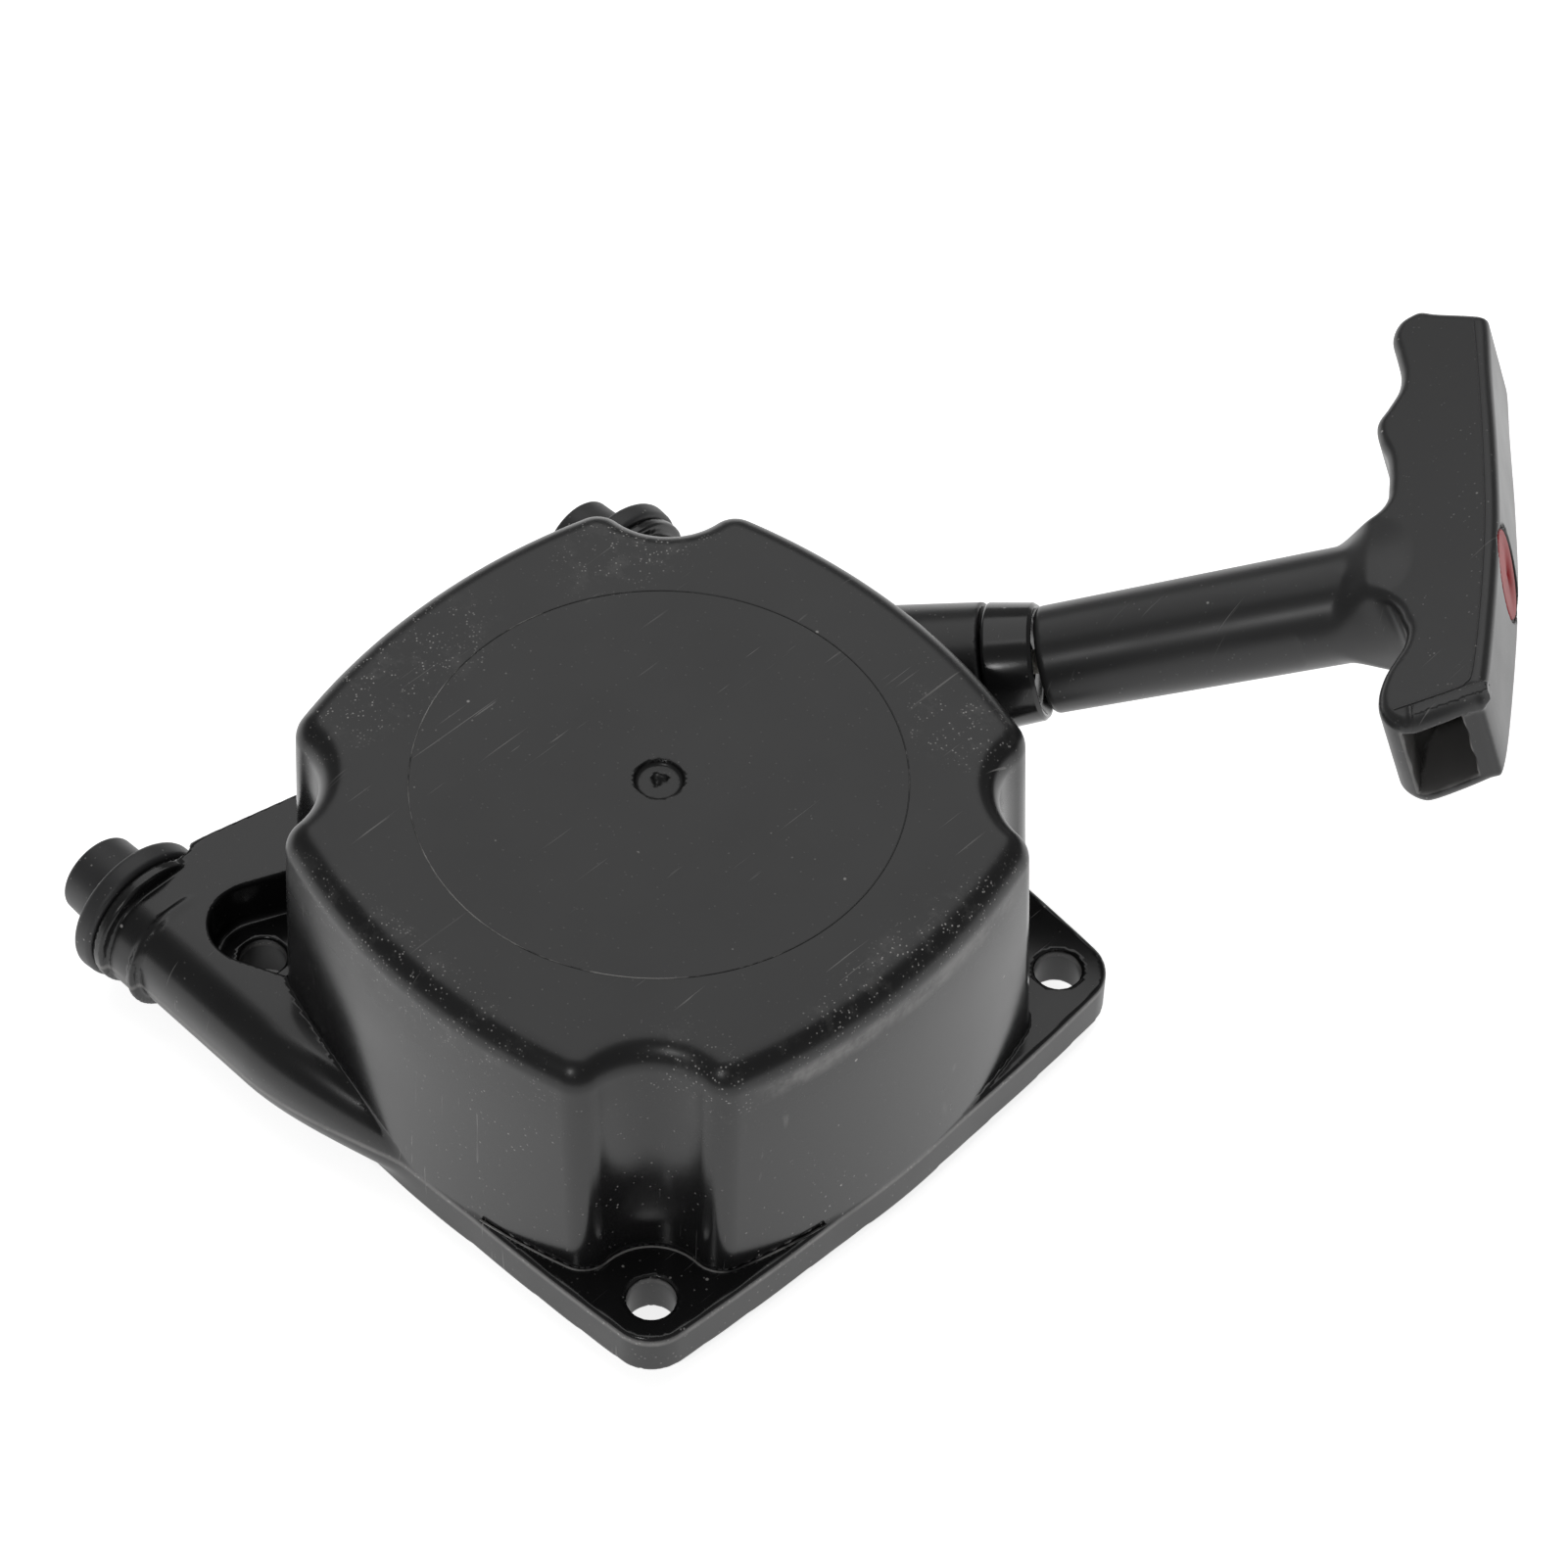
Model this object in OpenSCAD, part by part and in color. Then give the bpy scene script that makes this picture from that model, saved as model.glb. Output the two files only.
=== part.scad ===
// Recoil starter for a small two-stroke engine.
// Frame: Z is the reel axis, z = 0 is the mounting face, the engine is below it.
// The rope leaves toward +X +Y, and the two cushion pins point toward -X.

/* [Mounting flange] */
// Distance between neighbouring bolt holes
bolt_pitch = 80; // [78:0.5:82]
// Radius of the bolt holes
bolt_hole_r = 3.4; // [2.6:0.1:3.6]
// Thickness of the flange
flange_t = 7.5; // [6:0.5:9]
// Half of the flange's width, measured at its corners
flange_half = 46.8; // [46.7:0.1:47.5]
// Corner radius of the flange
flange_corner_r = 6.4; // [5:0.1:7]
// How far each flange side bows outward at its middle
flange_bow = 2.2; // [2:0.1:2.4]

/* [Dome] */
// Height of the dome's flat top above the mounting face
dome_top = 49; // [48:0.5:52]
// Distance from the axis to the middle of a side, at the flange
dome_base_half = 48.6; // [48:0.1:48.6]
// The same distance at the top of the wall
dome_top_half = 47.4; // [47:0.1:48]
// Radius of each bowed side, seen from above
dome_side_r = 95; // [90:1:110]
// Radius of the bolt notch at the flange
notch_base_r = 8.4; // [8:0.1:9]
// Radius of the bolt notch at the top
notch_top_r = 10.1; // [9.5:0.1:10.5]
// Rounding where a notch meets a side
hump_r = 4.5; // [3:0.5:5]
// Rounding of the dome's top edge
dome_edge_r = 4; // [2:0.5:4.5]
// Radius of the round chamber inside the dome
chamber_r = 43.3; // [42:0.1:43.5]
// Thickness of the dome's top
top_wall = 3; // [2.5:0.5:3.5]

/* [Bracket with cushion pins] */
// Height of the bracket's top above the mounting face
bracket_top = 16; // [15:0.5:17]
// Distance of each cushion pin's axis from the centre plane
pin_y = 47.2; // [46:0.2:48]
// Length of a cushion pin beyond its collar
pin_len = 8; // [6:0.5:10]
// Radius of the rubber pin
cushion_r = 6.2; // [6:0.1:6.5]
// Radius of the rubber collar
collar_r = 11; // [10:0.5:11]
// Thickness of the rubber collar
collar_t = 3.3; // [3:0.1:4]

/* [Rope outlet] */
// Heading of the outlet, from X toward Y
outlet_az = 40.5; // [38:0.5:43]
// Rise of the outlet above the mounting plane
outlet_el = 15.7; // [13:0.1:17]
// Diameter of the rope
rope_d = 3.5; // [3:0.1:3.6]
// Length of the outlet bushing that shows
bushing_len = 7.3; // [6:0.1:8]

/* [Handle] */
// Heading of the handle's stem
stem_az = 44.2; // [42:0.1:46]
// Rise of the handle's stem
stem_el = 18.2; // [16:0.1:20]
// Turn of the T bar about the stem
bar_roll = -6.2; // [-20:0.1:20]
// Lean of the T bar across the stem
bar_lean = 3.5; // [0:0.5:4]
// Height of the T bar's section
bar_h = 16; // [14:0.5:17]
// Distance from the bushing to the middle of the T bar
bar_dist = 58; // [56:0.5:60]
// Rope that can be pulled out
rope_travel = 700; // [500:10:740]

/* [Reel and pawls] */
// Radius of the drum that the rope winds on
drum_r = 26; // [25:0.5:27]
// Radius of the reel's flanges
reel_r = 38.5; // [37:0.5:39.5]
// Height of the middle of the rope groove
groove_z = 27; // [26.8:0.1:27.2]
// Radius of the fixed post that the reel turns on
post_r = 8; // [7:0.5:8]
// Distance of the pawl pivots from the reel's axis
pawl_pivot_r = 21; // [20.5:0.5:21]

/* [Hidden] */
$fn = 64;

plastic = "#2b2b2d";
rubber = "#1f1f20";
steel = "#9a9da1";
brass = "#c2a24a";
rope_colour = "#d8d6cf";

bolt_at = bolt_pitch / 2;
dome_inner_top = dome_top - top_wall;
bar_axis_z = bracket_top / 2;
bar_r = bracket_top / 2 - 0.1;
collar_in = -56.9;
collar_out = collar_in - collar_t;
pin_end = collar_out - pin_len;
stub_r = 3.5;
shoulder_in = -55.2;
shoulder_r = 9.5;
ridge_x = -50;
bar_fade_x = -18;

outlet = [13.9, 62, 35];
boss_r = 9.3;
boss_root_r = 11;
bushing_end_r = 8.3;
sleeve_r = 5;
sleeve_len = 13;
rope_hole_r = 2.6;
rope_r = rope_d / 2;

post_low = 14;
insert_r = 4;
screw_r = 2.4;
fit = 0.05;

groove_w = 7.4;
flange_disc = 3.3;
web_low = groove_z - groove_w / 2 - flange_disc;
reel_top = groove_z + groove_w / 2 + flange_disc;
hub_r = 13;
sleeve_top = 45.2;
spring_low = 36.8;
spring_high = 45.2;
spring_in_r = 10.5;
spring_out_r = 29.5;
spring_turns = 8;
spring_t = 0.6;
anchor_at = 31.2;
anchor_r = 1.1;

pawl_low = 14.8;
pawl_high = 18.2;
pawl_pin_r = 2;
peg_at = [1, -9];
peg_r = 1.5;
plate_low = 10.3;
plate_high = 11.5;

stem_start = 1.4;
badge_at = 0.6;
stem_r = 7.8;
stem_root_r = 8.3;
tunnel_s = 9;
tunnel_h = 10.8;

// Points of an arc about c, from angle a to angle b, without the one at a
function arc(c, r, a, b, n) =
    [for (i = [1:n]) c + r * [cos(a + (b - a) * i / n), sin(a + (b - a) * i / n)]];

// Upper crossing of two circles, given by centre and radius
function crossing(a, ra, b, rb) =
    let (d = norm(b - a), x = (d * d + ra * ra - rb * rb) / (2 * d),
         h = sqrt(ra * ra - x * x), u = (b - a) / d)
    a + u * x + h * [u[1], -u[0]];

// An outline with four like quarters, from the points of its first eighth
function four_sided(eighth) =
    let (n = len(eighth), quarter = concat(eighth,
         [for (i = [n - 2:-1:0]) [eighth[i][1], eighth[i][0]]]))
    [for (k = [0:3]) for (i = [0:len(quarter) - 2])
        [quarter[i][0] * cos(90 * k) - quarter[i][1] * sin(90 * k),
         quarter[i][0] * sin(90 * k) + quarter[i][1] * cos(90 * k)]];

// Dome outline at one height: bowed side, rounded hump and bolt notch
function dome_outline(half, notch) =
    let (side = [half - dome_side_r, 0], bolt = [bolt_at, bolt_at],
         hump = crossing(side, dome_side_r - hump_r, bolt, notch + hump_r),
         side_end = atan2(hump[1] - side[1], hump[0] - side[0]),
         notch_end = atan2(hump[1] - bolt[1], hump[0] - bolt[0]),
         notch_start = notch_end > 0 ? notch_end - 360 : notch_end)
    four_sided(concat([[half, 0]], arc(side, dome_side_r, 0, side_end, 5),
        arc(hump, hump_r, side_end, notch_start + 180, 5),
        arc(bolt, notch, notch_start, -135, 5)));

// Flange outline: bowed sides and round corners
function flange_outline() =
    let (bow_r = (bolt_at * bolt_at + flange_bow * flange_bow) / (2 * flange_bow),
         side = [flange_half + flange_bow - bow_r, 0],
         reach = bow_r - flange_corner_r,
         g = (side[0] + sqrt(2 * reach * reach - side[0] * side[0])) / 2,
         a = atan2(g, g - side[0]))
    four_sided(concat([[flange_half + flange_bow, 0]], arc(side, bow_r, 0, a, 4),
        arc([g, g], flange_corner_r, a, 45, 4)));

function ring(points, scale, z) = [for (p = points) [p[0] * scale, p[1] * scale, z]];

// Solid through rings that all have the same number of points
module loft(rings) {
    n = len(rings[0]);
    m = len(rings);
    polyhedron(
        points = [for (r = rings) each r],
        faces = concat(
            [[for (i = [0:n - 1]) i]],
            [[for (i = [n - 1:-1:0]) (m - 1) * n + i]],
            [for (k = [0:m - 2]) for (i = [0:n - 1])
                [k * n + i, (k + 1) * n + i, (k + 1) * n + (i + 1) % n, k * n + (i + 1) % n]]));
}

// Places children along the rope outlet: their Z is the outlet's axis
module on_outlet() {
    translate(outlet) rotate([0, 90 - outlet_el, outlet_az]) children();
}

// Places children along the handle's stem: Z is the stem, Y is the T bar
module on_stem() {
    translate(outlet) rotate([0, 90 - stem_el, stem_az]) rotate([0, 0, bar_roll]) children();
}

// Places children in the T bar's own frame
module on_bar() {
    on_stem() translate([0, 0, bar_dist]) rotate([bar_lean, 0, 0]) children();
}

module at_bolts() {
    for (x = [-1, 1], y = [-1, 1]) translate([x * bolt_at, y * bolt_at, 0]) children();
}

module x_cylinder(x0, x1, r) {
    translate([x0, 0, 0]) rotate([0, 90, 0]) cylinder(h = x1 - x0, r = r);
}

module dome_body() {
    wall_top = dome_top - dome_edge_r;
    top = dome_outline(dome_top_half, notch_top_r);
    loft(concat(
        [ring(dome_outline(dome_base_half, notch_base_r), 1, flange_t - 1)],
        [for (a = [0:22.5:90]) ring(top,
            1 - dome_edge_r * (1 - cos(a)) / dome_top_half, wall_top + dome_edge_r * sin(a))]));
}

// One wing of the bracket, on the -Y side
module wing() {
    difference() {
        linear_extrude(height = bracket_top)
            polygon([[bar_fade_x, -pin_y], [-30, 0.5], [-49.2, 0.5], [-57.4, -32.6],
                     [-58.9, -39.6], [-58.9, -pin_y]]);
        translate([0, -pin_y, bar_axis_z]) x_cylinder(-70, collar_in + 0.1, collar_r + 0.4);
    }
    translate([0, -pin_y, bar_axis_z]) {
        x_cylinder(collar_in, bar_fade_x + 0.5, bar_r);
        x_cylinder(collar_in, shoulder_in, shoulder_r);
        x_cylinder(shoulder_in - 0.5, ridge_x, bar_r + 0.6);
        x_cylinder(pin_end + 0.6, collar_in + 1, stub_r);
    }
    hull() {
        translate([bar_fade_x - 1, -pin_y, bar_axis_z]) rotate([0, 90, 0])
            cylinder(h = 0.1, r = bracket_top / 2 - 0.05, $fn = 32);
        translate([5, 5.5 - flange_half - flange_bow, 5.4]) sphere(r = 5, $fn = 24);
    }
}

// Room above a bolt hole of the bracket, open toward the dome's notch
module bolt_pocket() {
    translate([-bolt_at, -bolt_at, flange_t]) {
        cylinder(h = 20, r = 7);
        linear_extrude(height = 20)
            polygon([[-6.2, 2.5], [-1.2, 14], [14, -1.2], [2.5, -6.2]]);
    }
}

module housing() {
    color(plastic) difference() {
        union() {
            difference() {
                union() {
                    linear_extrude(height = flange_t) polygon(flange_outline());
                    wing();
                    mirror([0, 1, 0]) wing();
                }
                bolt_pocket();
                mirror([0, 1, 0]) bolt_pocket();
            }
            dome_body();
            on_outlet() translate([0, 0, -30])
                cylinder(h = 30 - bushing_len, r1 = boss_root_r, r2 = boss_r);
        }
        at_bolts() translate([0, 0, -1]) cylinder(h = flange_t + 2, r = bolt_hole_r);
        difference() {
            translate([0, 0, -1]) cylinder(h = dome_inner_top + 1, r = chamber_r);
            translate([0, 0, post_low]) cylinder(h = 40, r = post_r);
            translate([0, 0, spring_low - 0.2]) difference() {
                cylinder(h = 20, r = 35.4);
                translate([0, 0, -1]) cylinder(h = 22, r = 33.2);
            }
        }
        translate([0, 0, post_low - 1]) cylinder(h = 17, r = insert_r);
        on_outlet() translate([0, 0, -36]) cylinder(h = 40, r = sleeve_r);
        translate([anchor_at, 0, dome_inner_top - 1]) cylinder(h = 2.2, r = anchor_r);
        translate([0, 0, dome_top + 8]) sphere(r = 8.8);
    }
}

module post_insert() {
    color(brass) translate([0, 0, post_low]) difference() {
        cylinder(h = 14, r = insert_r);
        translate([0, 0, -1]) cylinder(h = 16, r = screw_r + fit);
    }
}

module rope_bushing() {
    color(plastic) on_outlet() rotate_extrude()
        polygon([[rope_hole_r, -bushing_len - sleeve_len], [sleeve_r, -bushing_len - sleeve_len],
                 [sleeve_r, -bushing_len], [boss_r, -bushing_len], [bushing_end_r, -0.6],
                 [bushing_end_r - 0.6, 0], [rope_hole_r + 1.8, 0], [rope_hole_r, -2.5]]);
}

// Rubber sleeve with a collar, pushed on a stub of the bracket
module cushion(side) {
    color(rubber) translate([0, side * pin_y, bar_axis_z]) rotate([0, -90, 0]) rotate_extrude()
        polygon([[stub_r, -collar_in], [collar_r, -collar_in], [collar_r, -collar_out],
                 [cushion_r, -collar_out], [cushion_r, -pin_end - 0.8],
                 [cushion_r - 0.8, -pin_end], [stub_r, -pin_end]]);
}

module cushion_left() {
    cushion(-1);
}

module cushion_right() {
    cushion(1);
}

// Flat strip wound from the reel's sleeve out to the anchor pin
module recoil_spring() {
    steps = spring_turns * 24;
    grow = (spring_out_r - spring_in_r) / steps;
    color(steel) {
        translate([0, 0, spring_low]) linear_extrude(height = spring_high - spring_low)
            polygon(concat(
                [for (i = [0:steps]) (spring_in_r + grow * i) * [cos(15 * i), sin(15 * i)]],
                [for (i = [steps:-1:0])
                    (spring_in_r + spring_t + grow * i) * [cos(15 * i), sin(15 * i)]]));
        translate([anchor_at, 0, spring_low]) difference() {
            cylinder(h = spring_high - spring_low, r = anchor_r + 0.75);
            translate([0, 0, -1]) cylinder(h = 20, r = anchor_r + fit);
        }
    }
}

module spring_anchor() {
    color(steel) translate([anchor_at, 0, spring_low])
        cylinder(h = dome_inner_top + 1 - spring_low, r = anchor_r);
}

module friction_spring() {
    color(steel) rotate_extrude()
        polygon([[3.2, 12.1], [3.2, 12.7], [8, 12.2], [8, 11.6]]);
}

module retaining_washer() {
    color(steel) translate([0, 0, post_low - 1.2]) difference() {
        cylinder(h = 1.2, r = 11);
        translate([0, 0, -1]) cylinder(h = 4, r = screw_r + 0.2);
    }
}

module centre_screw() {
    color(steel) {
        translate([0, 0, plate_low - 1.2]) cylinder(h = 17, r = screw_r);
        translate([0, 0, plate_low - 1.2]) cylinder(h = 1.1, r = 7);
        translate([0, 0, plate_low - 5]) cylinder(h = 4, r = 4.6, $fn = 6);
    }
}

module at_pawls() {
    for (k = [0, 1]) rotate([0, 0, 180 * k]) translate([pawl_pivot_r, 0, 0]) children();
}

module rope_reel() {
    color(plastic) difference() {
        union() {
            rotate_extrude()
                polygon([[post_r + fit, post_low + 0.2], [hub_r, post_low + 0.2], [hub_r, web_low],
                         [reel_r, web_low], [reel_r, web_low + flange_disc],
                         [drum_r, web_low + flange_disc], [drum_r, reel_top - flange_disc],
                         [reel_r, reel_top - flange_disc], [reel_r, reel_top],
                         [drum_r - 3, reel_top], [drum_r - 3, web_low + flange_disc],
                         [hub_r, web_low + flange_disc], [hub_r, reel_top],
                         [post_r + 1.6, reel_top + 1], [post_r + 1.6, sleeve_top],
                         [post_r + fit, sleeve_top]]);
            for (k = [0:5]) rotate([0, 0, 60 * k + 30]) translate([hub_r - 1, -1.2, web_low + 1])
                cube([drum_r - hub_r - 1, 2.4, reel_top - web_low - 2]);
            at_pawls() translate([0, 0, web_low]) cylinder(h = 8, r = 4.2);
        }
        at_pawls() translate([0, 0, web_low - 1]) cylinder(h = 8, r = pawl_pin_r);
        rotate([0, 0, 240]) translate([drum_r - 6, 0, groove_z]) rotate([0, 90, 0])
            cylinder(h = 12, r = 2.1);
    }
}

module rope_coil() {
    color(rope_colour) rotate_extrude()
        polygon([[drum_r + 0.1, groove_z - 3.5], [drum_r + 7.2, groove_z - 3.5],
                 [drum_r + 7.2, groove_z + 3.5], [drum_r + 0.1, groove_z + 3.5]]);
}

module reel_knot() {
    color(rope_colour) rotate([0, 0, 240]) translate([drum_r - 6.8, 0, groove_z]) {
        sphere(r = 3.3);
        rotate([0, 90, 0]) cylinder(h = 6.9, r = rope_r);
    }
}

module pawl_pins() {
    color(steel) at_pawls() {
        translate([0, 0, pawl_low - 1.2]) cylinder(h = web_low + 7 - pawl_low + 1.2, r = pawl_pin_r);
        translate([0, 0, pawl_low - 1.4]) cylinder(h = 1.2, r = 3.2);
    }
}

// Two-legged torsion spring round a pawl's pin
module pawl_spring() {
    coil_r = 3;
    wire_r = 0.45;
    color(steel) translate([pawl_pivot_r, 0, 19.1]) {
        rotate_extrude() translate([coil_r, 0]) circle(r = wire_r);
        translate([coil_r, 0, 0]) rotate([90, 0, 0]) cylinder(h = 8, r = wire_r);
        translate([-coil_r, 0, 0]) rotate([90, 0, -40]) cylinder(h = 6, r = wire_r);
    }
}

module pawl_spring_a() {
    pawl_spring();
}

module pawl_spring_b() {
    rotate([0, 0, 180]) pawl_spring();
}

// Pawl with its pivot on +X and its tip pointing toward -Y
module pawl() {
    color(steel) translate([pawl_pivot_r, 0, 0]) {
        difference() {
            union() {
                translate([0, 0, pawl_low]) cylinder(h = pawl_high - pawl_low, r = 4.6);
                translate([0, 0, pawl_low]) linear_extrude(height = pawl_high - pawl_low)
                    polygon([[-4.5, -0.5], [4.5, 0.5], [4.6, -8], [3.6, -15], [1.6, -18.4],
                             [-0.4, -18.2], [-2.6, -12]]);
            }
            translate([0, 0, pawl_low - 1]) cylinder(h = 6, r = pawl_pin_r + fit);
        }
        translate([peg_at[0], peg_at[1], plate_low - 0.4])
            cylinder(h = pawl_low - plate_low + 1, r = peg_r);
    }
}

module pawl_a() {
    pawl();
}

module pawl_b() {
    rotate([0, 0, 180]) pawl();
}

module guide_plate() {
    peg = [pawl_pivot_r + peg_at[0], peg_at[1]];
    color(steel) rotate([0, 0, atan2(peg[1], peg[0])]) difference() {
        translate([0, 0, plate_low]) union() {
            cylinder(h = plate_high - plate_low, r = 13);
            translate([-32, -6, 0]) cube([64, 12, plate_high - plate_low]);
        }
        translate([0, 0, plate_low - 1]) cylinder(h = 4, r = screw_r + 0.3);
        for (k = [0, 1]) rotate([0, 0, 180 * k])
            translate([norm(peg) - peg_r - 0.4, -peg_r - 0.4, plate_low - 1])
                cube([4 + 2 * peg_r + 0.8, 2 * peg_r + 0.8, 4]);
    }
}

function heading(az, el) = [cos(el) * cos(az), cos(el) * sin(az), sin(el)];

// Middle line of the rope: off the coil, along the outlet, then up the handle's stem
rope_points = concat([[-17.6, 30.4, 26.6]],
    [for (s = [-31.5, -25, -16, -8, -2]) outlet + s * heading(outlet_az, outlet_el)],
    [for (s = [8, 24, 40, 54.1]) outlet + s * heading(stem_az, stem_el)]);

module rope_run() {
    n = 10;
    last = len(rope_points) - 1;
    color(rope_colour) loft([for (i = [0:last])
        let (p = rope_points[i], q = rope_points[min(i + 1, last)], o = rope_points[max(i - 1, 0)],
             t = (q - o) / norm(q - o), u = cross(t, [0, 0, 1]) / norm(cross(t, [0, 0, 1])),
             v = cross(t, u))
        [for (k = [0:n - 1]) p + rope_r * (cos(36 * k) * u - sin(36 * k) * v)]]);
}

module handle_knot() {
    color(rope_colour) on_stem() translate([0, 0, bar_dist - 0.2]) sphere(r = 3.6);
}

module knot_washer() {
    color(steel) on_bar() translate([0, 0, -tunnel_s / 2]) difference() {
        cylinder(h = 0.8, r = 4.4);
        translate([0, 0, -1]) cylinder(h = 3, r = 2.3);
    }
}

// Outline of the T bar: X runs along the bar, Y away from the reel
bar_outline = [[51.2, -3.4], [49.5, -5.8], [46.5, -6.8], [42.4, -6.1], [38, -5.4], [34.5, -5.7],
               [31, -7.2], [28, -8.6], [24.4, -8.2], [20.6, -7], [16.5, -6.8], [12, -7.6],
               [8.4, -9.4], [-8.4, -9.4], [-12, -7.2], [-15.5, -5.9], [-20, -5.7], [-24, -6.2],
               [-28, -7], [-31.5, -6.5], [-34.3, -3.6], [-34.4, -1.6], [-30.4, 7.6], [3.4, 9.2],
               [47.4, 7.2], [51.3, -1]];

module handle_grip() {
    color(plastic) difference() {
        union() {
            on_stem() {
                translate([0, 0, stem_start + 1.2])
                    cylinder(h = bar_dist - 8 - stem_start, r1 = stem_r, r2 = stem_root_r);
                translate([0, 0, stem_start]) cylinder(h = 1.2, r1 = stem_r - 1.2, r2 = stem_r);
            }
            on_bar() rotate([90, 0, 90]) translate([0, 0, -bar_h / 2])
                linear_extrude(height = bar_h) polygon(bar_outline);
        }
        on_stem() cylinder(h = bar_dist - 3, r = 2.4);
        on_bar() translate([-tunnel_h / 2, -40, -tunnel_s / 2]) cube([tunnel_h, 86, tunnel_s]);
        on_bar() translate([0, badge_at, 8.2]) cylinder(h = 4, r = 6.6);
    }
}

module handle_badge() {
    color("#b3262b") on_bar() translate([0, badge_at, 8.2]) cylinder(h = 0.6, r = 6.4);
}

housing();
post_insert();
rope_bushing();
cushion_left();
cushion_right();
recoil_spring();
spring_anchor();
friction_spring();
retaining_washer();
centre_screw();
rope_reel();
rope_coil();
reel_knot();
pawl_pins();
pawl_spring_a();
pawl_spring_b();
guide_plate();
pawl_a();
pawl_b();
rope_run();
handle_knot();
knot_washer();
handle_grip();
handle_badge();
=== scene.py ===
import math

import bpy
import numpy as np
from mathutils import Matrix, Vector


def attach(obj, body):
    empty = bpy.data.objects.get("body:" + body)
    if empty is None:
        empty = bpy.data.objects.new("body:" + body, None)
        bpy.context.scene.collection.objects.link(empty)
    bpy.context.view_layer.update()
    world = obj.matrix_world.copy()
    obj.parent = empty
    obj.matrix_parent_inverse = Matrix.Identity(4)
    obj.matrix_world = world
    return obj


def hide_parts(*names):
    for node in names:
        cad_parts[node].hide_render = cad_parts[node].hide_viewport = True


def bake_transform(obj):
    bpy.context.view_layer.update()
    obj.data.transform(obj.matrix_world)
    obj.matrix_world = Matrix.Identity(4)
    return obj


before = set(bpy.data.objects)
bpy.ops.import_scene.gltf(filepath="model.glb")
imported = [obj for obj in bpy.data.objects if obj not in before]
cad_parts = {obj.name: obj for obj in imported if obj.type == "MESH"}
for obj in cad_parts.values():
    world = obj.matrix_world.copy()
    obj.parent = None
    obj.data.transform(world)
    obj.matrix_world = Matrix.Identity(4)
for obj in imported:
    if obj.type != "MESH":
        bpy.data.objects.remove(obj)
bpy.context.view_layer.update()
MM = 0.001

# ---------------------------------------------------------------- dimensions, mm
# housing
BOLT = 40.0  # half the bolt spacing
HOLE_R = 3.4
FLANGE_T = 7.5
FLANGE_MID = 48.6
FLANGE_SIDE_R = 445.3
FLANGE_CORNER_R = 6.4
TOP = 49.0
TOP_EDGE_R = 4.0
DOME_FOOT = 49.0  # half width where the dome meets the flange
DOME_SIDE_R = 95.0
NOTCH_R = 8.4  # round notch at each bolt, at the dome's foot
HUMP_R = 4.5
DRAFT_H = 37.5  # over this height the wall leans in and the notch grows
DRAFT_IN = 1.6
NOTCH_GROWTH = 1.7
CHAMBER_R = 43.3
CHAMBER_TOP = 46
WITNESS_R = 34
# bracket
PIN_Y = 47.2
BRACKET_R = 8.0
WING_TIP = (-57.4, -32.6)
POCKET_R = 7
POCKET_COS, POCKET_SIN = 0.914, 0.407
SHOULDER_Z = 7.0
COLLAR_IN = -56.9
COLLAR_OUT = -60.2
PIN_END = -68.2
# rope outlet and handle; angles in degrees
OUTLET = np.array([13.9, 62.0, 35.0])
OUTLET_AZ, OUTLET_EL = 40.5, 15.7
STEM_AZ, STEM_EL = 44.2, 18.2
ROPE_R = 1.75
BAR_FAR = 58  # from the outlet to the bar's middle, along the stem
BAR_ROLL, BAR_LEAN = -6.2, 3.5
BAR_HALF = 8.0  # half the bar's width, across
BADGE_U = 0.6
BADGE_FLOOR = 8.45


def heading(az, el):
    """Unit vector at azimuth az from x and elevation el, in degrees."""
    a, e = math.radians(az), math.radians(el)
    return np.array([math.cos(e) * math.cos(a), math.cos(e) * math.sin(a), math.sin(e)])


OUTLET_DIR = heading(OUTLET_AZ, OUTLET_EL)
STEM_DIR = heading(STEM_AZ, STEM_EL)

# ---------------------------------------------------------------- distance field tools


def cut_round(a, b, r):
    """Intersection of two fields with its edge rounded to radius r."""
    beyond = np.hypot(np.maximum(a + r, 0), np.maximum(b + r, 0))
    return np.minimum(np.maximum(a, b), -r) + beyond


def join_round(a, b, r):
    """Union of two fields with a fillet of radius r."""
    return -cut_round(-a, -b, r)


def join_soft(a, b, k):
    """Union of two fields that meet at a shallow angle."""
    h = np.clip(0.5 + 0.5 * (b - a) / k, 0, 1)
    return b + (a - b) * h - k * h * (1 - h)


def ease(t):
    """Smooth step from 0 to 1."""
    t = np.clip(t, 0, 1)
    return t * t * (3 - 2 * t)


def along(x, y, z, origin, axis):
    """Distance along an axis and away from it."""
    dx, dy, dz = x - origin[0], y - origin[1], z - origin[2]
    s = dx * axis[0] + dy * axis[1] + dz * axis[2]
    dx, dy, dz = dx - s * axis[0], dy - s * axis[1], dz - s * axis[2]
    return s, np.sqrt(dx ** 2 + dy ** 2 + dz ** 2)


# ---------------------------------------------------------------- housing


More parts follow.
